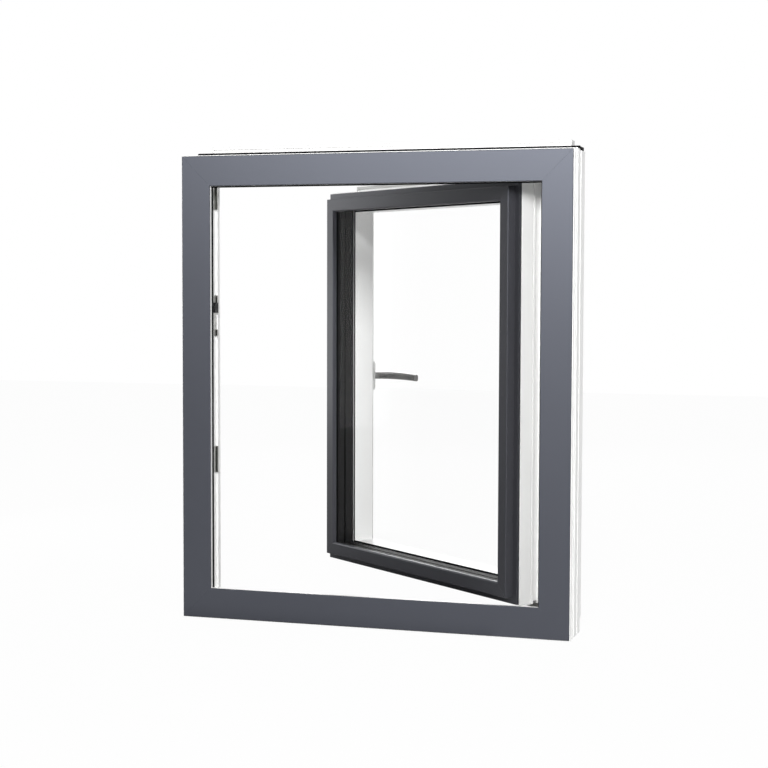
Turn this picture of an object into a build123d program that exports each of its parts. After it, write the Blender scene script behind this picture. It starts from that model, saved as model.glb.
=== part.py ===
from build123d import *
import os
from math import cos, radians, sin

os.makedirs("parts", exist_ok=True)

# A white plastic casement window with grey outer cladding, its sash swung inward.
# X runs to the right seen from outside, Y from outside to inside, Z up.
# The origin lies on the sill's underside, midway along it and midway through the frame.
# Depths are measured from the outer face inward, widths from the frame's outer edge
# towards the middle of the opening.
width = 650.0
height = 760.0
frame_depth = 82.0

# Frame profile.
face_width = 50.0
cladding_thick = 2.5
cladding_edge = 1.0
cladding_bevel = 0.8
stop_thick = 5.0
stop_foot = 38.0
stop_slope = 4.5
rebate_width = 33.5
ridge_high = 3.5
ridge_thick = 4.0
ridge_back = 15.0
ridge_span = 17.0
groove_deep = 2.5
groove_long = 8.0
groove_depths = (12.0, 24.0, 52.0)
gasket_foot = 42.0
gasket_proud = 1.0
gasket_sill_drop = 3.5
gasket_clear = 0.2
gasket_heel = 5.3
gasket_tip = 1.0

# Sash, given as it lies when shut.
open_angle = 39.3
sash_front = 0.0
sash_gap = 4.0
sash_face = 22.5
sash_metal = 3.0
sash_bevel = 2.0
sash_return = 14.0
sash_leg = 7.0
lip_width = 10.5
lip_thick = 5.0
lip_cover = 1.5
flange_cover = 8.0
flange_gap = 2.5
flange_bevel = 1.5
sash_proud = 10.0
seam_depth = 41.0
seam_wide = 2.0
seam_deep = 1.5
euro_wide = 12.0
euro_deep = 4.0
euro_back = 33.5
bed_wall = 2.5

# Glazing: three panes held apart by two spacers, between thin gaskets.
pane_thick = 4.0
pane_gap = 13.5
pane_cover = 13.0
spacer_wide = 10.5
glazing_gasket = 1.0
glazing_gasket_wide = 3.0
bead_round = 5.7
bead_nose = 1.0

# Gasket on the flange.
flange_gasket_edge = 2.0
flange_gasket_wide = 5.0
flange_gasket_clear = 0.2

# Adapter, seal and extension on top of the head.
adapter_depths = (40.0, 4.0)
adapter_high = 3.0
adapter_end = 2.0
seal_thick = 2.6
seal_depths = (44.0, 2.0)
seal_start = 11.0
seal_flap = 3.0
extension_depths = (50.0, 6.0)
extension_ends = (35.0, 14.0)
extension_high = 10.4
extension_line = 5.3
extension_line_wide = 1.3
extension_line_deep = 1.5

# Strips along the jambs' outer edges on the inner face.
strip_thick = 8.0
strip_wide = 7.0
strip_foot = 23.0

# Hinges.
hinge_out = 0.5
hinge_proud = 10.0
knuckle_radius = 7.0
pin_radius = 3.0
pin_clear = 0.1
knuckle_gap = 0.4
hinge_end = 62.0
frame_knuckle = 24.0
sash_knuckle = 36.0
leaf_thick = 3.0
leaf_reach = 33.0
leaf_web = 4.0
plate_thick = 3.0
plate_wide = 12.0
plate_gap = 1.0
plate_high = 62.0
arm_clear = 2.0

# Handle, its lever turned level towards the hinges.
handle_width = 53.0
handle_high = 381.0
rosette_wide = 28.0
rosette_high = 56.0
rosette_thick = 8.0
rosette_round = 8.0
rosette_edge = 2.5
neck_radius = 6.5
lever_off = 14.0
lever_heel = 9.0
lever_long = 122.0
lever_high = 13.5
lever_tip = 12.0
lever_thick = 11.0
lever_tip_thick = 8.0
lever_round = 3.5
lever_drop = 1.0
lever_arch = 1.5
lever_bow = 2.5
lever_steps = 8

# Lock edge and keeps.
faceplate_end = 60.0
faceplate_thick = 3.0
faceplate_side = 0.5
cam_radius = 4.5
cam_head = 5.5
cam_head_thick = 2.0
cam_long = 6.0
keep_side = 1.0
keep_base = 2.5
keep_claw = 5.5
keep_claw_deep = 4.5
corner_keep_drop = 52.0
corner_keep_run = 46.0
upper_keep_low = 465.0
upper_claw_low = 10.0
upper_claw_high = 12.0
latch_run = 28.0
insert_high = 17.0
insert_thick = 3.0
lower_keep_low = 236.0
lower_keep_high = 44.0

front_y = -frame_depth / 2
half_w = width / 2
stop_back = cladding_thick + stop_thick
ridge_width = rebate_width + ridge_high
ridge_far = frame_depth - ridge_back - ridge_thick
ridge_near = ridge_far - ridge_span - ridge_thick
sash_edge = face_width + sash_gap
sash_sight = sash_edge + sash_face
lip_front = sash_front + sash_return
lip_back = lip_front + lip_thick
lip_edge = sash_edge - lip_width
sash_body = lip_edge - lip_cover
sash_back = frame_depth + sash_proud
flange_width = rebate_width - flange_cover
flange_front = frame_depth + flange_gap
bed_width = sash_edge + sash_metal + bed_wall
leg_back = sash_front + sash_leg
glass_front = leg_back + glazing_gasket
glass_edge = sash_sight - pane_cover
glass_back = glass_front + 3 * pane_thick + 2 * pane_gap
bead_front = glass_back + glazing_gasket
euro_far = sash_back - euro_back
euro_near = euro_far - euro_wide
euro_floor = sash_body + euro_deep
hinge_width = flange_width - hinge_out
hinge_depth = sash_back + hinge_proud

# The sash stands turned about the hinge line; its plane keeps the shut sash's coordinates.
hinge_x = half_w - hinge_width
hinge_y = front_y + hinge_depth
turn_x = Vector(cos(radians(open_angle)), -sin(radians(open_angle)), 0)
turn_y = Vector(sin(radians(open_angle)), cos(radians(open_angle)), 0)
wall = Plane.XY
leaf = Plane(
    origin=Vector(hinge_x, hinge_y, 0) - turn_x * hinge_x - turn_y * hinge_y,
    x_dir=turn_x,
    z_dir=(0, 0, 1),
)


def spot(base, x, depth, z):
    """A point given by its place across, its depth from the outer face and its height."""
    return base.from_local_coords(Vector(x, front_y + depth, z))


def side_frame(base, side):
    """Start corner, run direction, inward direction and length of one side."""
    across, up = base.x_dir, base.z_dir
    if side == "top":
        return spot(base, half_w, 0, height), across * -1, up * -1, width
    if side == "bottom":
        return spot(base, -half_w, 0, 0), across, up, width
    if side == "left":
        return spot(base, -half_w, 0, height), up * -1, across, height
    return spot(base, half_w, 0, 0), up, across * -1, height


def mitred_bar(base, side, section):
    """One side of a frame with its ends mitred; the section is (depth, width) points."""
    corner, run, inward, length = side_frame(base, side)
    far = corner + run * length
    with BuildPart() as bar:
        with BuildSketch(Plane(origin=corner, x_dir=base.y_dir, z_dir=run)):
            with BuildLine():
                Polyline(*section, close=True)
            make_face()
        extrude(amount=length)
        split(bisect_by=Plane(origin=corner, z_dir=run - inward), keep=Keep.TOP)
        split(bisect_by=Plane(origin=far, z_dir=run * -1 - inward), keep=Keep.TOP)
    return bar


def mitred_loop(base, section):
    """Four mitred sides joined into one closed loop."""
    bars = [mitred_bar(base, side, section) for side in ("top", "bottom", "left", "right")]
    with BuildPart() as loop:
        for bar in bars:
            add(bar.part)
    return loop


def strip_section(depths, widths):
    """A plain rectangular section between two depths and two widths."""
    near, far = depths
    outer, inner = widths
    return [(near, outer), (near, inner), (far, inner), (far, outer)]


def block(base, x_range, depth_range, z_range):
    """An upright box between two places across, two depths and two heights."""
    x0, x1 = x_range
    d0, d1 = depth_range
    z0, z1 = z_range
    centre = spot(base, (x0 + x1) / 2, (d0 + d1) / 2, z0)
    with BuildPart() as box:
        with BuildSketch(Plane(origin=centre, x_dir=base.x_dir, z_dir=base.z_dir)):
            Rectangle(x1 - x0, d1 - d0)
        extrude(amount=z1 - z0)
    return box


def joined(*pieces):
    """Pieces that touch, made into one."""
    with BuildPart() as whole:
        for piece in pieces:
            add(piece.part)
    return whole


def write(piece, name):
    """Labels a finished piece and writes it."""
    piece.part.label = name
    export_step(piece.part, "parts/" + name + ".step")


# Frame members: a thin stop behind the cladding, a rebate with two fixing ridges, and
# shallow grooves along the outer edge.
frame_section = [
    (cladding_thick, 0),
    (cladding_thick, face_width),
    (stop_back, face_width),
    (stop_back, stop_foot),
    (stop_back + stop_slope, rebate_width),
]
for start in (ridge_near, ridge_far):
    frame_section.append((start, rebate_width))
    frame_section.append((start, ridge_width))
    frame_section.append((start + ridge_thick, ridge_width))
    frame_section.append((start + ridge_thick, rebate_width))
frame_section.append((frame_depth, rebate_width))
frame_section.append((frame_depth, 0))
for start in reversed(groove_depths):
    frame_section.append((start + groove_long, 0))
    frame_section.append((start + groove_long, groove_deep))
    frame_section.append((start, groove_deep))
    frame_section.append((start, 0))

for side, name in (
    ("top", "frame_head"),
    ("bottom", "frame_sill"),
    ("left", "frame_left_jamb"),
    ("right", "frame_right_jamb"),
):
    member = mitred_bar(wall, side, frame_section)
    write(member, name)

# Grey cladding on the outer face, mitred like the frame, its long edges eased.
cladding_section = [
    (0, cladding_edge + cladding_bevel),
    (0, face_width - cladding_bevel),
    (cladding_bevel, face_width),
    (cladding_thick, face_width),
    (cladding_thick, cladding_edge),
    (cladding_bevel, cladding_edge),
]
for side, name in (
    ("top", "head_cladding"),
    ("bottom", "sill_cladding"),
    ("left", "left_jamb_cladding"),
    ("right", "right_jamb_cladding"),
):
    panel = mitred_bar(wall, side, cladding_section)
    write(panel, name)

# Black bulb gasket on the back of the stop, just short of the shut sash's lip. It shows past
# the stop's edge on three sides and lies below it along the sill.
gasket_heel_back = stop_back + gasket_heel
gasket_back = lip_front - gasket_clear
gasket_bars = []
for side, gasket_inner in (
    ("top", face_width + gasket_proud),
    ("bottom", face_width - gasket_sill_drop),
    ("left", face_width + gasket_proud),
    ("right", face_width + gasket_proud),
):
    gasket_section = [
        (stop_back, gasket_foot),
        (stop_back, gasket_inner),
        (gasket_heel_back, gasket_inner),
        (gasket_back, gasket_inner - gasket_tip),
        (gasket_back, gasket_foot + gasket_tip),
        (gasket_heel_back, gasket_foot),
    ]
    gasket_bars.append(mitred_bar(wall, side, gasket_section))
frame_gasket = joined(*gasket_bars)
write(frame_gasket, "frame_gasket")

# White adapter on top of the head, a black seal on it whose right end turns down, and a
# low white extension profile with a line along its face.
adapter_near = adapter_depths[0]
adapter_far = frame_depth - adapter_depths[1]
adapter_top = height + adapter_high
head_adapter = block(
    wall,
    (-half_w + adapter_end, half_w - adapter_end),
    (adapter_near, adapter_far),
    (height, adapter_top),
)
write(head_adapter, "head_adapter")

seal_near = seal_depths[0]
seal_far = frame_depth - seal_depths[1]
seal_top = adapter_top + seal_thick
seal_left = -half_w + seal_start
seal_strip = block(wall, (seal_left, half_w), (seal_near, seal_far), (adapter_top, seal_top))
seal_end = block(
    wall,
    (half_w - adapter_end, half_w),
    ((seal_near + seal_far) / 2, seal_far),
    (adapter_top - seal_flap, adapter_top),
)
head_seal = joined(seal_strip, seal_end)
write(head_seal, "head_seal")

extension_near = extension_depths[0]
extension_far = frame_depth - extension_depths[1]
extension_left = -half_w + extension_ends[0]
extension_right = half_w - extension_ends[1]
extension_start = spot(wall, extension_left, 0, 0)
line_low = seal_top + extension_line
line_high = line_low + extension_line_wide
with BuildPart() as head_extension:
    with BuildSketch(Plane(origin=extension_start, x_dir=(0, 1, 0), z_dir=(1, 0, 0))):
        with BuildLine():
            Polyline(
                (extension_near, seal_top),
                (extension_far, seal_top),
                (extension_far, seal_top + extension_high),
                (extension_near, seal_top + extension_high),
                (extension_near, line_high),
                (extension_near + extension_line_deep, line_high),
                (extension_near + extension_line_deep, line_low),
                (extension_near, line_low),
                close=True,
            )
        make_face()
    extrude(amount=extension_right - extension_left)
write(head_extension, "head_extension")

# Strips on the inner face along the jambs' outer edges, stopping above the sill.
for name, edge, inner in (
    ("left_back_strip", -half_w, -half_w + strip_wide),
    ("right_back_strip", half_w - strip_wide, half_w),
):
    strip = block(
        wall, (edge, inner), (frame_depth, frame_depth + strip_thick), (strip_foot, height)
    )
    write(strip, name)

# Keeps between the ridges of the lock jamb: a base plate with a claw along its inner edge.
floor_x = -half_w + rebate_width
keep_near = ridge_near + ridge_thick + keep_side
keep_far = ridge_far - keep_side
claw_near = keep_far - keep_claw_deep
base_x = (floor_x, floor_x + keep_base)
claw_x = (floor_x, floor_x + keep_claw)
keep_top = height - rebate_width

corner_keep = joined(
    block(wall, base_x, (keep_near, keep_far), (keep_top - corner_keep_drop, keep_top)),
    block(wall, claw_x, (claw_near, keep_far), (keep_top - corner_keep_drop, keep_top)),
    block(
        wall,
        (floor_x, floor_x + corner_keep_run),
        (keep_near, keep_far),
        (keep_top - keep_base, keep_top),
    ),
)
write(corner_keep, "corner_keep")

insert_low = upper_keep_low + upper_claw_low + latch_run
insert_top = insert_low + insert_high
upper_keep_top = insert_top + upper_claw_high
upper_keep = joined(
    block(wall, base_x, (keep_near, keep_far), (upper_keep_low, upper_keep_top)),
    block(wall, claw_x, (claw_near, keep_far), (upper_keep_low, upper_keep_low + upper_claw_low)),
    block(wall, claw_x, (claw_near, keep_far), (insert_top, upper_keep_top)),
)
write(upper_keep, "upper_keep")

insert_x = (floor_x + keep_base, floor_x + keep_base + insert_thick)
keep_insert = block(wall, insert_x, (keep_near, keep_far), (insert_low, insert_top))
write(keep_insert, "keep_insert")

lower_keep_top = lower_keep_low + lower_keep_high
lower_keep = joined(
    block(wall, base_x, (keep_near, keep_far), (lower_keep_low, lower_keep_top)),
    block(wall, claw_x, (claw_near, keep_far), (lower_keep_low, lower_keep_top)),
)
write(lower_keep, "lower_keep")

# Sash members: outer nose, glazing bed, seam and hardware groove on the outer side, and
# the flange that overlaps the frame indoors.
sash_section = [
    (sash_front + sash_metal, sash_edge + sash_metal),
    (sash_front + sash_metal, sash_sight - sash_metal),
    (leg_back, sash_sight - sash_metal),
    (leg_back, bed_width),
    (sash_back, bed_width),
    (sash_back, flange_width + flange_bevel),
    (sash_back - flange_bevel, flange_width),
    (flange_front, flange_width),
    (flange_front, sash_body),
    (euro_far, sash_body),
    (euro_far, euro_floor),
    (euro_near, euro_floor),
    (euro_near, sash_body),
    (seam_depth + seam_wide, sash_body),
    (seam_depth + seam_wide, sash_body + seam_deep),
    (seam_depth, sash_body + seam_deep),
    (seam_depth, sash_body),
    (lip_back, sash_body),
    (lip_back, sash_edge + sash_metal),
]
for side, name in (
    ("top", "sash_top_rail"),
    ("bottom", "sash_bottom_rail"),
    ("left", "sash_lock_stile"),
    ("right", "sash_hinge_stile"),
):
    member = mitred_bar(leaf, side, sash_section)
    write(member, name)

# Grey sash cladding: bevelled face, glazing leg, outer return and the lip that meets the
# frame gasket.
sash_cladding_section = [
    (sash_front, sash_edge + cladding_bevel),
    (sash_front, sash_sight - sash_bevel),
    (sash_front + sash_bevel, sash_sight),
    (leg_back, sash_sight),
    (leg_back, sash_sight - sash_metal),
    (sash_front + sash_metal, sash_sight - sash_metal),
    (sash_front + sash_metal, sash_edge + sash_metal),
    (lip_back, sash_edge + sash_metal),
    (lip_back, lip_edge),
    (lip_front, lip_edge),
    (lip_front, sash_edge),
    (sash_front + cladding_bevel, sash_edge),
]
for side, name in (
    ("top", "sash_top_cladding"),
    ("bottom", "sash_bottom_cladding"),
    ("left", "sash_lock_cladding"),
    ("right", "sash_hinge_cladding"),
):
    panel = mitred_bar(leaf, side, sash_cladding_section)
    write(panel, name)

# Triple glazing unit with its spacers.
pane_wide = width - 2 * glass_edge
pane_high = height - 2 * glass_edge
for index, name in enumerate(("outer_pane", "middle_pane", "inner_pane")):
    near = glass_front + index * (pane_thick + pane_gap)
    pane = block(
        leaf,
        (-pane_wide / 2, pane_wide / 2),
        (near, near + pane_thick),
        (glass_edge, glass_edge + pane_high),
    )
    write(pane, name)
for index, name in enumerate(("outer_spacer", "inner_spacer")):
    near = glass_front + pane_thick + index * (pane_thick + pane_gap)
    spacer = mitred_loop(
        leaf, strip_section((near, near + pane_gap), (glass_edge, glass_edge + spacer_wide))
    )
    write(spacer, name)

# Black glazing gaskets on both sides of the unit.
seat_width = (sash_sight - glazing_gasket_wide, sash_sight)
outer_glazing_gasket = mitred_loop(leaf, strip_section((leg_back, glass_front), seat_width))
write(outer_glazing_gasket, "outer_glazing_gasket")
inner_glazing_gasket = mitred_loop(leaf, strip_section((glass_back, bead_front), seat_width))
write(inner_glazing_gasket, "inner_glazing_gasket")

# White glazing beads on the inner side, rounded off towards the glass.
bead_section = [
    (bead_front, bed_width),
    (bead_front, sash_sight),
    (sash_back - bead_round, sash_sight),
    (sash_back - bead_nose, sash_sight - bead_round + bead_nose),
    (sash_back, sash_sight - bead_round - bead_nose),
    (sash_back, bed_width),
]
for side, name in (
    ("top", "top_bead"),
    ("bottom", "bottom_bead"),
    ("left", "lock_bead"),
    ("right", "hinge_bead"),
):
    bead = mitred_bar(leaf, side, bead_section)
    write(bead, name)

# Pale gasket on the flange, just short of the frame when shut.
gasket_edge = flange_width + flange_gasket_edge
sash_gasket = mitred_loop(
    leaf,
    strip_section(
        (frame_depth + flange_gasket_clear, flange_front),
        (gasket_edge, gasket_edge + flange_gasket_wide),
    ),
)
write(sash_gasket, "sash_gasket")

# Hinges: a plate on the jamb whose arm carries a knuckle and pin, and a leaf on the sash
# with its own knuckle on that pin. The upper hinge is the lower one turned over.
plate_edge = half_w - strip_wide - plate_gap
arm_root = plate_edge - plate_wide
plate_y = front_y + frame_depth + plate_thick / 2
for name, way, start in (
    ("lower_hinge", 1, hinge_end),
    ("upper_hinge", -1, height - hinge_end),
):
    frame_end = start + way * frame_knuckle
    sash_start = frame_end + way * knuckle_gap
    plate_centre = (plate_edge - plate_wide / 2, plate_y, start)
    with BuildPart() as bracket:
        with BuildSketch(Plane(origin=(hinge_x, hinge_y, start), z_dir=(0, 0, way))):
            Circle(knuckle_radius)
        extrude(amount=frame_knuckle)
        with BuildSketch(Plane(origin=(hinge_x, hinge_y, frame_end), z_dir=(0, 0, way))):
            Circle(pin_radius)
        extrude(amount=knuckle_gap + sash_knuckle)
        with BuildSketch(Plane(origin=plate_centre, x_dir=(1, 0, 0), z_dir=(0, 0, way))):
            Rectangle(plate_wide, plate_thick)
        extrude(amount=plate_high)
        with BuildSketch(Plane.XY.offset(min(start, frame_end))):
            with BuildLine():
                Polyline(
                    (arm_root, plate_y),
                    (plate_edge, plate_y),
                    (hinge_x + knuckle_radius, hinge_y),
                    (hinge_x + arm_clear, hinge_y),
                    close=True,
                )
            make_face()
        extrude(amount=frame_knuckle)
    write(bracket, name + "_bracket")
    leaf_low = min(sash_start, sash_start + way * sash_knuckle)
    leaf_corner = spot(leaf, hinge_x, sash_back, leaf_low)
    with BuildPart() as knuckle:
        with BuildSketch(Plane(origin=(hinge_x, hinge_y, sash_start), z_dir=(0, 0, way))):
            Circle(knuckle_radius)
        extrude(amount=sash_knuckle)
        with BuildSketch(Plane(origin=leaf_corner, x_dir=leaf.x_dir, z_dir=(0, 0, 1))):
            with BuildLine():
                Polyline(
                    (-leaf_reach, 0),
                    (-leaf_reach, leaf_thick),
                    (-knuckle_radius - leaf_web, leaf_thick),
                    (-knuckle_radius, hinge_proud),
                    (0, hinge_proud),
                    (0, 0),
                    close=True,
                )
            make_face()
        extrude(amount=sash_knuckle)
        with BuildSketch(Plane(origin=(hinge_x, hinge_y, sash_start), z_dir=(0, 0, way))):
            Circle(pin_radius + pin_clear)
        extrude(amount=sash_knuckle, mode=Mode.SUBTRACT)
    write(knuckle, name + "_leaf")

# Handle on the lock stile: a rosette with a softened rim, and a lever that rises a little
# from its root and tapers to its tip.
handle_x = -half_w + handle_width
rosette_front = sash_back + rosette_thick
with BuildPart() as handle_rosette:
    centre = spot(leaf, handle_x, sash_back, handle_high)
    with BuildSketch(Plane(origin=centre, x_dir=leaf.x_dir, z_dir=leaf.y_dir)):
        RectangleRounded(rosette_wide, rosette_high, rosette_round)
    extrude(amount=rosette_thick)
    rim = handle_rosette.faces().sort_by(Axis(centre, leaf.y_dir))[-1]
    fillet(rim.edges(), rosette_edge)
write(handle_rosette, "handle_rosette")

lever_mid = rosette_front + lever_off + lever_thick / 2
with BuildPart() as handle_lever:
    for step in range(lever_steps + 1):
        share = step / lever_steps
        along = handle_x - lever_heel + share * (lever_heel + lever_long)
        bow = lever_bow * (share - 2 * share**3)
        rise = 4 * lever_arch * share * (1 - share) - lever_drop * (1 - share)
        high = lever_high - (lever_high - lever_tip) * share**2
        thick = lever_thick - (lever_thick - lever_tip_thick) * share**3
        centre = spot(leaf, along, lever_mid + bow, handle_high + rise)
        with BuildSketch(Plane(origin=centre, x_dir=leaf.y_dir, z_dir=leaf.x_dir)):
            RectangleRounded(thick, high, lever_round)
    loft(ruled=True)
    foot = spot(leaf, handle_x, rosette_front, handle_high - lever_drop / 2)
    with BuildSketch(Plane(origin=foot, x_dir=leaf.x_dir, z_dir=leaf.y_dir)):
        Circle(neck_radius)
    extrude(amount=lever_off + lever_thick / 2)
write(handle_lever, "handle_lever")

# Lock faceplate in the hardware groove of the lock stile, with headed cams at the keeps.
groove_mid = (euro_near + euro_far) / 2
plate_face_x = -half_w + euro_floor - faceplate_thick
cam_heights = (
    (lower_keep_low + lower_keep_top) / 2,
    insert_low - latch_run / 2,
    keep_top - corner_keep_drop,
)
with BuildPart() as lock_faceplate:
    foot = spot(leaf, plate_face_x + faceplate_thick / 2, groove_mid, faceplate_end)
    with BuildSketch(Plane(origin=foot, x_dir=leaf.x_dir, z_dir=(0, 0, 1))):
        Rectangle(faceplate_thick, euro_wide - 2 * faceplate_side)
    extrude(amount=height - 2 * faceplate_end)
    for cam_z in cam_heights:
        for radius, near, far in (
            (cam_radius, 0, cam_long),
            (cam_head, cam_long - cam_head_thick, cam_long),
        ):
            cam = spot(leaf, plate_face_x - near, groove_mid, cam_z)
            with BuildSketch(Plane(origin=cam, x_dir=leaf.y_dir, z_dir=leaf.x_dir * -1)):
                Circle(radius)
            extrude(amount=far - near)
write(lock_faceplate, "lock_faceplate")
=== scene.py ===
from math import cos, hypot, pi, radians, sin

import bmesh
import bpy
from mathutils import Matrix, Vector


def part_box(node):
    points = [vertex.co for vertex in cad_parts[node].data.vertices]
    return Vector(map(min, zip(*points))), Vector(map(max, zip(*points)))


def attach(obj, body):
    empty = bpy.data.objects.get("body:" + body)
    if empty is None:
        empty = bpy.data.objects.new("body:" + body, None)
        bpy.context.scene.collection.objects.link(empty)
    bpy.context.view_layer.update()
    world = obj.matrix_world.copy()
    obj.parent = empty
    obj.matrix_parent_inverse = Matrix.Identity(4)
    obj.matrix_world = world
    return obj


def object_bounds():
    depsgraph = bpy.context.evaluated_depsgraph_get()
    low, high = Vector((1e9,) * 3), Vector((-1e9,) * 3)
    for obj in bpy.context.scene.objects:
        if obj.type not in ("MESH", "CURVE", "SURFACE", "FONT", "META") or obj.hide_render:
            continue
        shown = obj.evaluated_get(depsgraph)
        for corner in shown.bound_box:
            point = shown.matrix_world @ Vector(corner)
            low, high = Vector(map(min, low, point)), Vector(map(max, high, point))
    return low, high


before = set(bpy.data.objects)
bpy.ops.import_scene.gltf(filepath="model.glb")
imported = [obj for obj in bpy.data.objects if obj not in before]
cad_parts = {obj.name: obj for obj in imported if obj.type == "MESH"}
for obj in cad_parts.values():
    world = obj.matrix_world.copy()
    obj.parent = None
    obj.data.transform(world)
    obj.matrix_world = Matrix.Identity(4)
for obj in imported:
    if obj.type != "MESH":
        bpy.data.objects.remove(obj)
cad_low, cad_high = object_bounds()

# Frame members: the head, the sill and the two jambs.
# Each is a length of extruded white plastic, mitred and welded at the corners.
# The extrusion leaves faint lines along the bar and a soft sheen.


class Wire:
    """One shader socket. Python operators on it add Math nodes, and add() adds any other node."""

    def __init__(self, tree, socket=None):
        self.tree = tree
        self.socket = socket

    def add(self, kind, settings=None, sockets=None, output=0):
        """A node of this kind with its settings made first, then its sockets set or linked."""
        node = self.tree.nodes.new("ShaderNode" + kind)
        for name, value in (settings or {}).items():
            setattr(node, name, value)
        for name, value in (sockets or {}).items():
            if isinstance(value, Wire):
                self.tree.links.new(value.socket, node.inputs[name])
            else:
                node.inputs[name].default_value = value
        return Wire(self.tree, node.outputs[output])

    def math(self, operation, *values):
        """A Math node on these values."""
        return self.add("Math", {"operation": operation}, dict(enumerate(values)))

    def __add__(self, other):
        return self.math("ADD", self, other)

    def __radd__(self, other):
        return self.math("ADD", other, self)

    def __sub__(self, other):
        return self.math("SUBTRACT", self, other)

    def __rsub__(self, other):
        return self.math("SUBTRACT", other, self)

    def __mul__(self, other):
        return self.math("MULTIPLY", self, other)

    def __rmul__(self, other):
        return self.math("MULTIPLY", other, self)

    def __abs__(self):
        return self.math("ABSOLUTE", self)

    def __gt__(self, other):
        return self.math("GREATER_THAN", self, other)


def new_finish(name, **plain):
    """A finish with one Principled shader: the material, a wire to draw from, and the shader."""
    material = bpy.data.materials.new(name)
    material.use_nodes = True
    shader = material.node_tree.nodes["Principled BSDF"]
    for socket, value in plain.items():
        shader.inputs[socket.replace("_", " ")].default_value = value
    return material, Wire(material.node_tree), shader


def feed(wire, node, socket):
    """Links a wire to one of a node's sockets."""
    wire.tree.links.new(wire.socket, node.inputs[socket])


def blend_colours(wire, share, first, second):
    """A colour between two others, each given as numbers or as a wire."""
    ends = [tone if isinstance(tone, Wire) else (*tone, 1.0) for tone in (first, second)]
    # The Mix node's colour sockets share their names with others, so they go by number.
    return wire.add("Mix", {"data_type": "RGBA"}, {0: share, 6: ends[0], 7: ends[1]}, output=2)


def between(share, first, last):
    """A value that runs from the first to the last as its share runs from 0 to 1."""
    return first + (last - first) * share


def place_in_metres(wire):
    """The point on the surface, in the part's own frame."""
    return wire.add("TexCoord", output="Object")


def run_along(wire, along):
    """How far that point lies along a direction."""
    sockets = {0: place_in_metres(wire), 1: along}
    return wire.add("VectorMath", {"operation": "DOT_PRODUCT"}, sockets, output="Value")


def drawn_out(wire, along, squeeze):
    """That point with its run along a bar squeezed, so that a pattern is drawn out that way."""
    shift = run_along(wire, along) * squeeze
    back = wire.add("VectorMath", {"operation": "SCALE"}, {0: along, "Scale": shift})
    return wire.add("VectorMath", {"operation": "SUBTRACT"}, {0: place_in_metres(wire), 1: back})


def grain(wire, place, scale, detail=2.0):
    """A soft random pattern between 0 and 1."""
    return wire.add("TexNoise", sockets={"Vector": place, "Scale": scale, "Detail": detail})


def relief(wire, height, depth, edge):
    """A fine relief over edges that are rounded by this radius."""
    soft_edge = wire.add("Bevel", {"samples": 4}, {"Radius": edge})
    sockets = {"Strength": 1.0, "Distance": depth, "Height": height, "Normal": soft_edge}
    return wire.add("Bump", sockets=sockets)


def dress(finish, *names):
    """Gives CAD pieces a finish."""
    for name in names:
        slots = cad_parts[name].data.materials
        slots.clear()
        slots.append(finish)


def white_profile(name, along, deep=(0.885, 0.886, 0.876), pale=(0.91, 0.91, 0.903)):
    """Extruded white plastic with lines along the bar."""
    finish, wire, shader = new_finish(name, IOR=1.5)
    lines = grain(wire, drawn_out(wire, along, squeeze=0.985), scale=900.0)
    cloud = grain(wire, place_in_metres(wire), scale=6.0)
    feed(blend_colours(wire, cloud, deep, pale), shader, "Base Color")
    feed(between(lines, 0.24, 0.38), shader, "Roughness")
    feed(relief(wire, lines, depth=0.00003, edge=0.0006), shader, "Normal")
    return finish


level = (1.0, 0.0, 0.0)
upright = (0.0, 0.0, 1.0)
level_white = white_profile("white_level_bar", level)
dress(level_white, "frame_head", "frame_sill")
upright_white = white_profile("white_upright_bar", upright)
dress(upright_white, "frame_left_jamb", "frame_right_jamb")

# Frame cladding: four mitred panels of grey coated metal clipped over the outer face.
# The coat is satin, a little blue, with a fine skin.


def grey_coat(name, roughness, index, deep, pale):
    """Satin grey coat with a fine skin and slightly uneven tone."""
    blue_sheen = (0.8, 0.85, 1.0, 1.0)
    skin_rougher = 0.06
    finish, wire, shader = new_finish(name, IOR=index, Specular_Tint=blue_sheen)
    place = place_in_metres(wire)
    skin = grain(wire, place, scale=1400.0, detail=1.0)
    cloud = grain(wire, place, scale=9.0)
    feed(blend_colours(wire, cloud, deep, pale), shader, "Base Color")
    feed(between(skin, roughness, roughness + skin_rougher), shader, "Roughness")
    feed(relief(wire, skin, depth=0.000012, edge=0.0005), shader, "Normal")
    return finish


coat = grey_coat(
    "grey_coat", roughness=0.37, index=1.4, deep=(0.041, 0.0431, 0.0515), pale=(0.0457, 0.048, 0.057)
)
dress(coat, "head_cladding", "sill_cladding", "left_jamb_cladding", "right_jamb_cladding")

# Frame gasket: a black rubber bulb pressed into the back of the stop all round.
# The rubber is matt with a dusty bloom, and a soft lip hangs from it along head and jambs.


def matt_rubber(name, deep, bloomed):
    """Matt rubber between two tones, with a faint bloom and next to no gloss."""
    finish, wire, shader = new_finish(name, IOR=1.12)
    place = place_in_metres(wire)
    bloom = grain(wire, place, scale=60.0, detail=4.0)
    pores = grain(wire, place, scale=2500.0, detail=1.0)
    feed(blend_colours(wire, bloom, deep, bloomed), shader, "Base Color")
    feed(between(bloom, 0.5, 0.7), shader, "Roughness")
    feed(relief(wire, pores, depth=0.00001, edge=0.0005), shader, "Normal")
    return finish


def add_piece(name, mesh, finish):
    """Makes a mesh a piece of the part, with its finish and the body it rides on."""
    data = bpy.data.meshes.new(name)
    mesh.to_mesh(data)
    mesh.free()
    data.materials.append(finish)
    piece = bpy.data.objects.new(name, data)
    bpy.context.scene.collection.objects.link(piece)
    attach(piece, "root")


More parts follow.
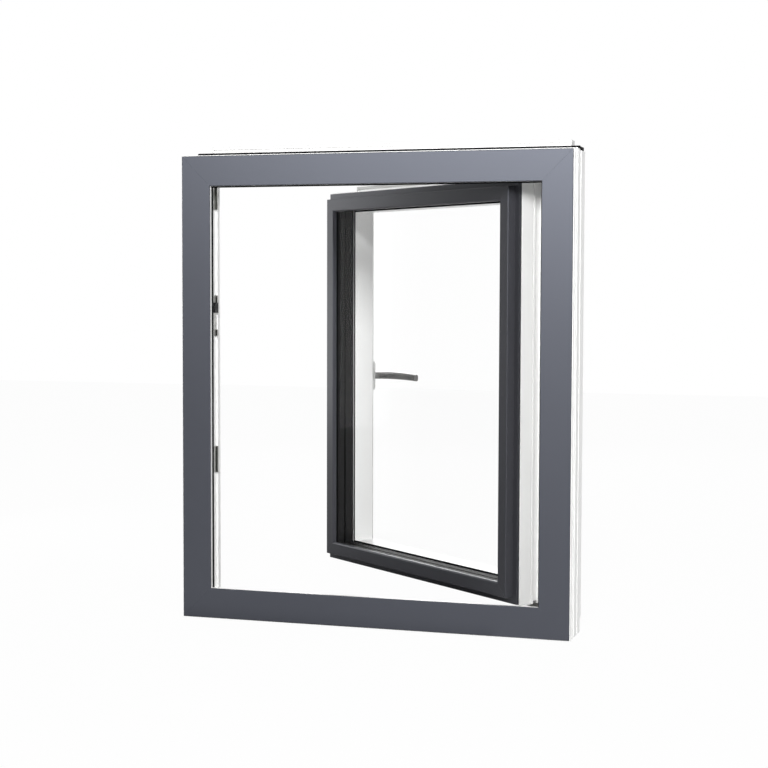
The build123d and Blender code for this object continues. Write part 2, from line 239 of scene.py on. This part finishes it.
def strip_through(name, sections, finish):
    """A closed strip whose skin runs through these sections and is capped at both ends."""
    mesh = bmesh.new()
    rings = [[mesh.verts.new(place) for place in section] for section in sections]
    for near, far in zip(rings, rings[1:]):
        for index in range(len(near)):
            mesh.faces.new((near[index - 1], near[index], far[index], far[index - 1]))
    mesh.faces.new(rings[0])
    mesh.faces.new(reversed(rings[-1]))
    bmesh.ops.recalc_face_normals(mesh, faces=mesh.faces)
    add_piece(name, mesh, finish)


rubber = matt_rubber("black_rubber", deep=(0.004, 0.004, 0.005), bloomed=(0.008, 0.008, 0.009))
dress(rubber, "frame_gasket")
half_width = cad_high.x
head_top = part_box("frame_head")[1].z
sill_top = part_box("frame_sill")[1].z
gasket_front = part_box("frame_gasket")[0].y
# Places across the lip, in from the frame's outer edge, and through it, from the gasket's front.
lip_root = 0.0503
lip_bend = 0.0514
lip_tip = 0.0523
lip_chamfer = 0.0005
lip_near = 0.0005
tip_far = 0.0018
bend_far = 0.0026
lip_far = 0.003
lip_outline = [
    (lip_near, lip_root),
    (lip_near, lip_tip - lip_chamfer),
    (lip_near + lip_chamfer, lip_tip),
    (tip_far, lip_tip),
    (bend_far, lip_bend),
    (lip_far, lip_root),
]
lip_sections = []
for side, at_corner in ((-1, False), (-1, True), (1, True), (1, False)):
    section = []
    for depth, inset in lip_outline:
        height = head_top - inset if at_corner else sill_top
        section.append((side * (half_width - inset), gasket_front + depth, height))
    lip_sections.append(section)
strip_through("frame_gasket_lip", lip_sections, rubber)

# On the head: a white adapter, a black seal with a soft bulb along its front, and a low extension.
# On the jambs' inner face: white strips. All are clipped on; the extension's white is painted greyer
# than the other white plastic, as painted shade.
dress(level_white, "head_adapter")
# Painted shade: the extension is the same white plastic, painted greyer.
shaded_extension_white = white_profile(
    "shaded_white_extension", level, deep=(0.69, 0.69, 0.684), pale=(0.72, 0.72, 0.714)
)
dress(shaded_extension_white, "head_extension")
dress(upright_white, "left_back_strip", "right_back_strip")
dress(rubber, "head_seal")
seal_low, seal_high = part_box("head_seal")
bulb_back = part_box("head_extension")[0].y
bulb_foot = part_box("head_adapter")[1].z
bulb_proud = 0.0004
bulb_reach = bulb_back - seal_low.y + bulb_proud
bulb_half = 0.0019
bulb_steps = 12
bulb_outline = []
for step in range(bulb_steps + 1):
    turn = pi * step / bulb_steps
    bulb_outline.append((bulb_back - bulb_reach * sin(turn), bulb_foot + bulb_half * (1 - cos(turn))))
bulb_sections = [
    [(end, depth, height) for depth, height in bulb_outline] for end in (seal_low.x, seal_high.x)
]
strip_through("head_seal_bulb", bulb_sections, rubber)

# Keeps on the lock jamb: pressed steel plates with a claw, zinc plated and screwed on.
# The upper one holds a black plastic insert for the latch.


def zinc_plate(name):
    """Zinc plated steel with its mottled crystals, and painted shade on the faces that look to the
    front.
    """
    dull_zinc = (0.5, 0.5, 0.48)
    bright_zinc = (0.68, 0.68, 0.66)
    front_painted_shade = (0.045, 0.045, 0.042)
    nearly_square = 0.6
    finish, wire, shader = new_finish(name, Metallic=1.0)
    mottle = grain(wire, place_in_metres(wire), scale=160.0, detail=3.0)
    scratch = grain(wire, drawn_out(wire, upright, squeeze=0.97), scale=1500.0)
    plated = blend_colours(wire, mottle, dull_zinc, bright_zinc)
    facing = wire.add("NewGeometry", output="Normal")
    outward = -1.0 * wire.add("SeparateXYZ", sockets={0: facing}, output="Y")
    # Painted shade: faces that look to the front get a dark steel colour.
    front_shade_mask = outward > nearly_square
    feed(blend_colours(wire, front_shade_mask, plated, front_painted_shade), shader, "Base Color")
    feed(between(mottle, 0.26, 0.44), shader, "Roughness")
    feed(relief(wire, scratch, depth=0.000015, edge=0.0004), shader, "Normal")
    return finish


def black_insert(name):
    """Black moulded plastic with a fine spark texture."""
    deep = (0.012, 0.012, 0.013)
    pale = (0.022, 0.022, 0.023)
    finish, wire, shader = new_finish(name, IOR=1.25)
    spark = grain(wire, place_in_metres(wire), scale=1800.0, detail=1.0)
    feed(blend_colours(wire, spark, deep, pale), shader, "Base Color")
    feed(between(spark, 0.42, 0.58), shader, "Roughness")
    feed(relief(wire, spark, depth=0.00002, edge=0.0004), shader, "Normal")
    return finish


def screw(name, place, out, radius=0.0032):
    """A raised countersunk head with a cross recess, seated in what it holds."""
    rings = 12
    turns = 48
    rise = 0.0007
    sunk = 0.0003
    recess = 0.0012
    recess_slope = 0.6
    slot_half = 0.16
    slot_reach = 0.62
    mesh = bmesh.new()

    def height(x, y):
        share = hypot(x, y)
        dome = rise * (1 - share * share)
        in_slot = min(abs(x), abs(y)) < slot_half and share < slot_reach
        return dome - recess * (1 - recess_slope * share) if in_slot else dome

    centre = mesh.verts.new((0.0, 0.0, height(0.0, 0.0)))
    rows = []
    for ring in range(1, rings + 1):
        share = ring / rings
        row = []
        for turn in range(turns):
            x = share * cos(2 * pi * turn / turns)
            y = share * sin(2 * pi * turn / turns)
            row.append(mesh.verts.new((radius * x, radius * y, height(x, y))))
        rows.append(row)
    rows.append([mesh.verts.new((rim.co.x, rim.co.y, -sunk)) for rim in rows[-1]])
    base = mesh.verts.new((0.0, 0.0, -recess))
    for turn in range(turns):
        following = (turn + 1) % turns
        mesh.faces.new((centre, rows[0][turn], rows[0][following]))
        for near, far in zip(rows, rows[1:]):
            mesh.faces.new((near[turn], far[turn], far[following], near[following]))
        mesh.faces.new((base, rows[-1][following], rows[-1][turn]))
    facing = Vector(out).to_track_quat("Z", "Y").to_matrix().to_4x4()
    bmesh.ops.transform(mesh, matrix=Matrix.Translation(place) @ facing, verts=mesh.verts)
    add_piece(name, mesh, zinc)


zinc = zinc_plate("zinc_plate")
dress(zinc, "corner_keep", "upper_keep", "lower_keep")
dress(black_insert("black_insert"), "keep_insert")
keep_base = 0.0025
keep_screw_in = 0.0053
keep_screw_heights = {
    "corner_keep": (0.012, 0.036),
    "upper_keep": (0.017, 0.032),
    "lower_keep": (0.009, 0.035),
}
for keep, heights in keep_screw_heights.items():
    keep_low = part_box(keep)[0]
    for index, height in enumerate(heights):
        seat = keep_low + Vector((keep_base, keep_screw_in, height))
        screw(f"{keep}_screw_{index + 1}", seat, level)

# Sash members: two rails and two stiles of the same white plastic, standing turned open.
# Their outer nose carries the cladding, their flange laps the frame indoors.
open_turn = radians(39.3)
across = Vector((cos(open_turn), -sin(open_turn), 0.0))
inward = Vector((sin(open_turn), cos(open_turn), 0.0))
rail_white = white_profile("white_sash_rail", tuple(across))
dress(rail_white, "sash_top_rail", "sash_bottom_rail")
stile_white = white_profile("white_sash_stile", upright)
dress(stile_white, "sash_lock_stile", "sash_hinge_stile")

# Sash cladding: four mitred grey panels with a bevel towards the glass and a lip behind.
# Their coat is a little smoother and less blue than the frame's, and painted darker as shade.
# Painted shade: the same coat as the frame's, with its tone set lower.
shaded_sash_coat = grey_coat(
    "shaded_sash_coat", roughness=0.33, index=1.3, deep=(0.036, 0.0363, 0.041), pale=(0.04, 0.0404, 0.0455)
)
for side in ("top", "bottom", "lock", "hinge"):
    dress(shaded_sash_coat, f"sash_{side}_cladding")

# Glazing: three clear panes held apart by two black spacers, bedded in thin rubber gaskets.
# The glass is coated against reflections, its rim is sealed in black, and the spacers are ribbed.


def clear_glass(name):
    """Thin clear glass with a faint mirror that grows at a slant, and a black seal along its rim."""
    clear_tint = (0.9996, 0.9999, 0.9998, 1.0)
    mirror_deep = (0.93, 0.95, 0.95)
    mirror_pale = (1.0, 1.0, 1.0)
    seal_black = (0.006, 0.006, 0.006, 1.0)
    seal_wide = 0.0075
    pane_thick = 0.004
    pane_low, pane_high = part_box("inner_pane")
    middle = (pane_low + pane_high) / 2
    half_wide = (pane_high.x - middle.x - pane_thick / 2 * sin(open_turn)) / cos(open_turn)
    half_high = pane_high.z - middle.z
    finish, wire, shader = new_finish(name, Roughness=0.02, Metallic=1.0)
    film = grain(wire, place_in_metres(wire), scale=14.0, detail=3.0)
    feed(blend_colours(wire, film, mirror_deep, mirror_pale), shader, "Base Color")
    gloss = Wire(wire.tree, shader.outputs[0])
    clear = wire.add("BsdfTransparent", sockets={"Color": clear_tint})
    outer_side = 1 - wire.add("NewGeometry", output="Backfacing")
    mirror = outer_side * wire.add("Fresnel", sockets={"IOR": 1.07})
    glass = wire.add("MixShader", sockets={0: mirror, 1: clear, 2: gloss})
    at_sides = abs(run_along(wire, tuple(across)) - middle.dot(across)) > half_wide - seal_wide
    at_ends = abs(run_along(wire, upright) - middle.z) > half_high - seal_wide
    rim = wire.math("MAXIMUM", at_sides, at_ends)
    seal = wire.add("BsdfDiffuse", sockets={"Color": seal_black})
    pane = wire.add("MixShader", sockets={0: rim, 1: glass, 2: seal})
    feed(pane, wire.tree.nodes["Material Output"], "Surface")
    return finish


def ribbed_spacer(name):
    """Black spacer with fine ribs across its run, painted darker at the rib feet as shade."""
    rib_pitch = 0.0023
    shaded_rib_foot = (0.003, 0.003, 0.0033)
    rib_top = (0.009, 0.009, 0.0093)
    nearly_level = 0.5
    finish, wire, shader = new_finish(name, IOR=1.22)
    facing = wire.add("NewGeometry", output="Normal")
    level_face = abs(wire.add("SeparateXYZ", sockets={0: facing}, output="Z")) > nearly_level
    along = level_face * run_along(wire, tuple(across)) + (1 - level_face) * run_along(wire, upright)
    rib = 0.5 + 0.5 * wire.math("SINE", along * (2 * pi / rib_pitch))
    # Painted shade: the rib feet are darker than the rib tops.
    feed(blend_colours(wire, rib, shaded_rib_foot, rib_top), shader, "Base Color")
    feed(between(rib, 0.7, 0.55), shader, "Roughness")
    feed(relief(wire, rib, depth=0.0002, edge=0.0003), shader, "Normal")
    return finish


dress(clear_glass("clear_glass"), "outer_pane", "middle_pane", "inner_pane")
dress(ribbed_spacer("ribbed_spacer"), "outer_spacer", "inner_spacer")
dress(rubber, "outer_glazing_gasket", "inner_glazing_gasket")

# Glazing beads: white plastic bars that clip in from indoors and hold the glass.
# A pale grey rubber gasket on the sash flange closes against the frame.
dress(rail_white, "top_bead", "bottom_bead")
dress(stile_white, "lock_bead", "hinge_bead")
pale_rubber = matt_rubber("pale_rubber", deep=(0.52, 0.52, 0.51), bloomed=(0.6, 0.6, 0.59))
dress(pale_rubber, "sash_gasket")

# Hinges: white coated brackets on the jamb and leaves on the sash, screwed on.
# A domed cap closes each end of the knuckles.


def white_enamel(name):
    """White coated metal, slightly uneven."""
    deep = (0.82, 0.82, 0.81)
    pale = (0.87, 0.87, 0.86)
    finish, wire, shader = new_finish(name, IOR=1.5)
    place = place_in_metres(wire)
    skin = grain(wire, place, scale=900.0, detail=1.0)
    cloud = grain(wire, place, scale=25.0)
    feed(blend_colours(wire, cloud, deep, pale), shader, "Base Color")
    feed(between(skin, 0.22, 0.32), shader, "Roughness")
    feed(relief(wire, skin, depth=0.00001, edge=0.0005), shader, "Normal")
    return finish


def turned(name, place, out, profile, finish, closed=False):
    """A turned piece: its profile of (radius, height) points spun about a line."""
    turns = 48
    mesh = bmesh.new()
    rows = []
    for radius, height in profile:
        row = []
        for turn in range(turns if radius > 0 else 1):
            angle = 2 * pi * turn / turns
            row.append(mesh.verts.new((radius * cos(angle), radius * sin(angle), height)))
        rows.append(row)
    pairs = list(zip(rows, rows[1:]))
    if closed:
        pairs.append((rows[-1], rows[0]))
    for near, far in pairs:
        for turn in range(turns):
            following = (turn + 1) % turns
            corners = [near[turn % len(near)], near[following % len(near)]]
            corners += [far[following % len(far)], far[turn % len(far)]]
            mesh.faces.new(dict.fromkeys(corners))
    facing = Vector(out).to_track_quat("Z", "Y").to_matrix().to_4x4()
    bmesh.ops.transform(mesh, matrix=Matrix.Translation(place) @ facing, verts=mesh.verts)
    bmesh.ops.recalc_face_normals(mesh, faces=mesh.faces)
    for face in mesh.faces:
        face.smooth = True
    add_piece(name, mesh, finish)


enamel = white_enamel("white_enamel")
hinge_line = Vector((0.3, 0.061, 0.0))
knuckle_radius = 0.007
cap_rise = 0.0022
cap_step = 15
cap_profile = [(0.0, cap_rise)]
for degrees in range(cap_step, 91, cap_step):
    angle = radians(degrees)
    cap_profile.append((knuckle_radius * sin(angle), cap_rise * cos(angle)))
cap_profile.append((0.0, 0.0))
plate_thick = 0.003
plate_screw_x = 0.311
plate_screw_heights = (0.034, 0.052)
sash_back = -0.01
leaf_thick = 0.003
leaf_screws = ((-0.017, -0.009), (-0.025, 0.009))
for hinge, way in (("lower_hinge", 1), ("upper_hinge", -1)):
    dress(enamel, hinge + "_bracket", hinge + "_leaf")
    bracket_low, bracket_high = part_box(hinge + "_bracket")
    leaf_low, leaf_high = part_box(hinge + "_leaf")
    start = bracket_low.z if way > 0 else bracket_high.z
    end = leaf_high.z if way > 0 else leaf_low.z
    for name, height, side in (("start_cap", start, -way), ("end_cap", end, way)):
        seat = Vector((hinge_line.x, hinge_line.y, height))
        turned(f"{hinge}_{name}", seat, (0, 0, side), cap_profile, enamel)
    for index, height in enumerate(plate_screw_heights):
        seat = Vector((plate_screw_x, bracket_low.y + plate_thick, start + way * height))
        screw(f"{hinge}_bracket_screw_{index + 1}", seat, (0, 1, 0))
    leaf_middle = (leaf_low.z + leaf_high.z) / 2
    for index, (along, height) in enumerate(leaf_screws):
        seat = hinge_line + across * along + inward * (sash_back + leaf_thick)
        seat.z = leaf_middle + height
        screw(f"{hinge}_leaf_screw_{index + 1}", seat, inward)

# Handle: a pale rosette and a darker flat lever of satin metal, with a turned collar between.
# The lever stands level, as it does when the sash is unlocked.


def satin_metal(name, deep, pale):
    """Satin metal between two tones, finely brushed along the lever."""
    finish, wire, shader = new_finish(name, Metallic=1.0)
    brush = grain(wire, drawn_out(wire, tuple(across), squeeze=0.98), scale=2600.0)
    cloud = grain(wire, place_in_metres(wire), scale=40.0)
    feed(blend_colours(wire, cloud, deep, pale), shader, "Base Color")
    feed(between(brush, 0.3, 0.46), shader, "Roughness")
    feed(relief(wire, brush, depth=0.00001, edge=0.0006), shader, "Normal")
    return finish


rosette_satin = satin_metal("rosette_satin", deep=(0.47, 0.47, 0.466), pale=(0.52, 0.52, 0.516))
dress(rosette_satin, "handle_rosette")
lever_satin = satin_metal("lever_satin", deep=(0.16, 0.16, 0.157), pale=(0.19, 0.19, 0.187))
dress(lever_satin, "handle_lever")
rosette_low, rosette_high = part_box("handle_rosette")
spindle_from_hinge = -0.572
rosette_thick = 0.008
neck_drop = 0.0005
collar_seat = hinge_line + across * spindle_from_hinge + inward * (sash_back + rosette_thick)
collar_seat.z = (rosette_low.z + rosette_high.z) / 2 - neck_drop
collar_bore = 0.0066
collar_radius = 0.0092
collar_sunk = 0.0002
collar_wall = 0.0016
collar_chamfer = 0.0006
collar_rise = 0.0026
collar_profile = [
    (collar_bore, -collar_sunk),
    (collar_radius, -collar_sunk),
    (collar_radius, collar_wall),
    (collar_radius - collar_chamfer, collar_wall + collar_chamfer),
    (collar_bore, collar_rise),
]
turned("handle_collar", collar_seat, inward, collar_profile, rosette_satin, closed=True)

# Lock faceplate: a zinc plated strip in the sash's hardware groove, with headed cams.
# Countersunk screws hold it every hand's width.
dress(zinc, "lock_faceplate")
plate_from_hinge = -0.582
groove_from_hinge = -0.0495
faceplate_foot = hinge_line + across * plate_from_hinge + inward * groove_from_hinge
faceplate_foot.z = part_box("lock_faceplate")[0].z
faceplate_screw_heights = (0.02, 0.13, 0.25, 0.36, 0.48, 0.6)
for index, height in enumerate(faceplate_screw_heights):
    seat = faceplate_foot + Vector((0.0, 0.0, height))
    screw(f"faceplate_screw_{index + 1}", seat, -across, radius=0.003)

# Stage: a pale floor, which shows white to the eye and keeps a faint shadow, in a white surround.
# Soft lamps light the part. One of them, and two black cards, act on gloss alone.


def seen_ray(wire):
    """1 for what the eye, a mirror or glass looks at, 0 for light that falls on a surface."""
    eye_ray = wire.add("LightPath", output="Is Camera Ray")
    mirror_ray = wire.add("LightPath", output="Is Glossy Ray")
    glass_ray = wire.add("LightPath", output="Is Transmission Ray")
    return wire.math("MAXIMUM", wire.math("MAXIMUM", eye_ray, mirror_ray), glass_ray)


def card(name, corners, finish):
    """A flat stage surface through these corners."""
    mesh = bpy.data.meshes.new(name)
    mesh.from_pydata(corners, [], [tuple(range(len(corners)))])
    mesh.materials.append(finish)
    piece = bpy.data.objects.new(name, mesh)
    bpy.context.scene.collection.objects.link(piece)
    return piece


white = (1.0, 1.0, 1.0, 1.0)
floor_half = 6.0
floor_drop = 0.0005
floor_glow = 0.975
floor_paint, wire, shader = new_finish("floor_paint", Base_Color=(0.55, 0.55, 0.55, 1.0), Roughness=0.9)
paint = Wire(wire.tree, shader.outputs[0])
glow = wire.add("Emission", sockets={"Color": white, "Strength": 1.0})
shown = wire.add("MixShader", sockets={0: floor_glow * seen_ray(wire), 1: paint, 2: glow})
feed(shown, wire.tree.nodes["Material Output"], "Surface")
floor_corners = [
    (side * floor_half, depth * floor_half, -floor_drop)
    for side, depth in ((-1, -1), (1, -1), (1, 1), (-1, 1))
]
card("floor", floor_corners, floor_paint)

flag_paint = new_finish("flag_paint", Base_Color=(0.01, 0.01, 0.01, 1.0), Roughness=0.9)[0]
flag_left = -0.8
flag_foot = 0.001
flag_top = 2.6
flag_near = -3.0
flag_far = 0.3
left_corners = [
    (flag_left, flag_near, flag_foot),
    (flag_left, flag_far, flag_foot),
    (flag_left, flag_far, flag_top),
    (flag_left, flag_near, flag_top),
]
foot_right = 0.2
foot_near = -0.08
foot_far = 0.42
foot_corners = [
    (flag_left, foot_near, flag_foot),
    (foot_right, foot_near, flag_foot),
    (foot_right, foot_far, flag_foot),
    (flag_left, foot_far, flag_foot),
]
for name, corners in (("left_flag", left_corners), ("foot_flag", foot_corners)):
    flag = card(name, corners, flag_paint)
    flag.visible_camera = False
    flag.visible_diffuse = False
    flag.visible_shadow = False

fill = 0.1
world = bpy.data.worlds.new("surround")
world.use_nodes = True
surround = world.node_tree.nodes["Background"]
surround.inputs["Color"].default_value = white
feed(between(seen_ray(Wire(world.node_tree)), fill, 1.0), surround, "Strength")
bpy.context.scene.world = world


def softbox(name, place, target, size, power):
    """A rectangular soft lamp aimed at a point."""
    lamp = bpy.data.lights.new(name, "AREA")
    lamp.shape = "RECTANGLE"
    lamp.size, lamp.size_y = size
    lamp.energy = power
    body = bpy.data.objects.new(name, lamp)
    body.location = place
    aim = Vector(target) - Vector(place)
    body.rotation_euler = aim.to_track_quat("-Z", "Y").to_euler()
    bpy.context.scene.collection.objects.link(body)
    return body


softbox("key_lamp", place=(0.6, -2.6, 1.75), target=(0.1, 0.0, 0.5), size=(0.35, 0.8), power=80.0)
softbox("right_lamp", place=(2.6, -2.4, 1.4), target=(0.0, 0.1, 0.4), size=(0.7, 0.7), power=60.0)
sheen_lamp = softbox(
    "sheen_lamp", place=(-0.2, -2.6, 1.32), target=(0.1, 0.0, 0.5), size=(2.4, 0.35), power=138.0
)
sheen_lamp.visible_diffuse = False
softbox("left_lamp", place=(-1.3, 0.75, 0.56), target=(0.0, 0.4, 0.5), size=(0.7, 0.75), power=5.8)
softbox("back_lamp", place=(-0.6, 2.8, 1.4), target=(0.0, 0.1, 0.5), size=(1.4, 1.0), power=30.0)

panes_crossed = 24
bpy.context.scene.cycles.transparent_max_bounces = panes_crossed
bpy.context.scene.view_settings.view_transform = "Standard"

# Camera: where the photograph was taken from, a little right of the frame and above its middle.
# Its place, turn and lens were fitted to the frame's edges in the photograph.
eye_place = (0.8135, -2.5951, 0.5501)
yaw = radians(17.194)
pitch = radians(3.354)
roll = radians(0.161)
focal_pixels = 1688.57
image_pixels = 768.0
forward = Vector((-sin(yaw) * cos(pitch), cos(yaw) * cos(pitch), -sin(pitch)))
right = Vector((cos(yaw), sin(yaw), 0.0))
up = right.cross(forward)
side = cos(roll) * right + sin(roll) * up
top = -sin(roll) * right + cos(roll) * up
eye = bpy.data.cameras.new("eye")
eye.sensor_width = 36.0
eye.lens = eye.sensor_width * focal_pixels / image_pixels
camera = bpy.data.objects.new("eye", eye)
facing = Matrix((side, top, -forward)).transposed().to_4x4()
camera.matrix_world = Matrix.Translation(eye_place) @ facing
bpy.context.scene.collection.objects.link(camera)
bpy.context.scene.camera = camera
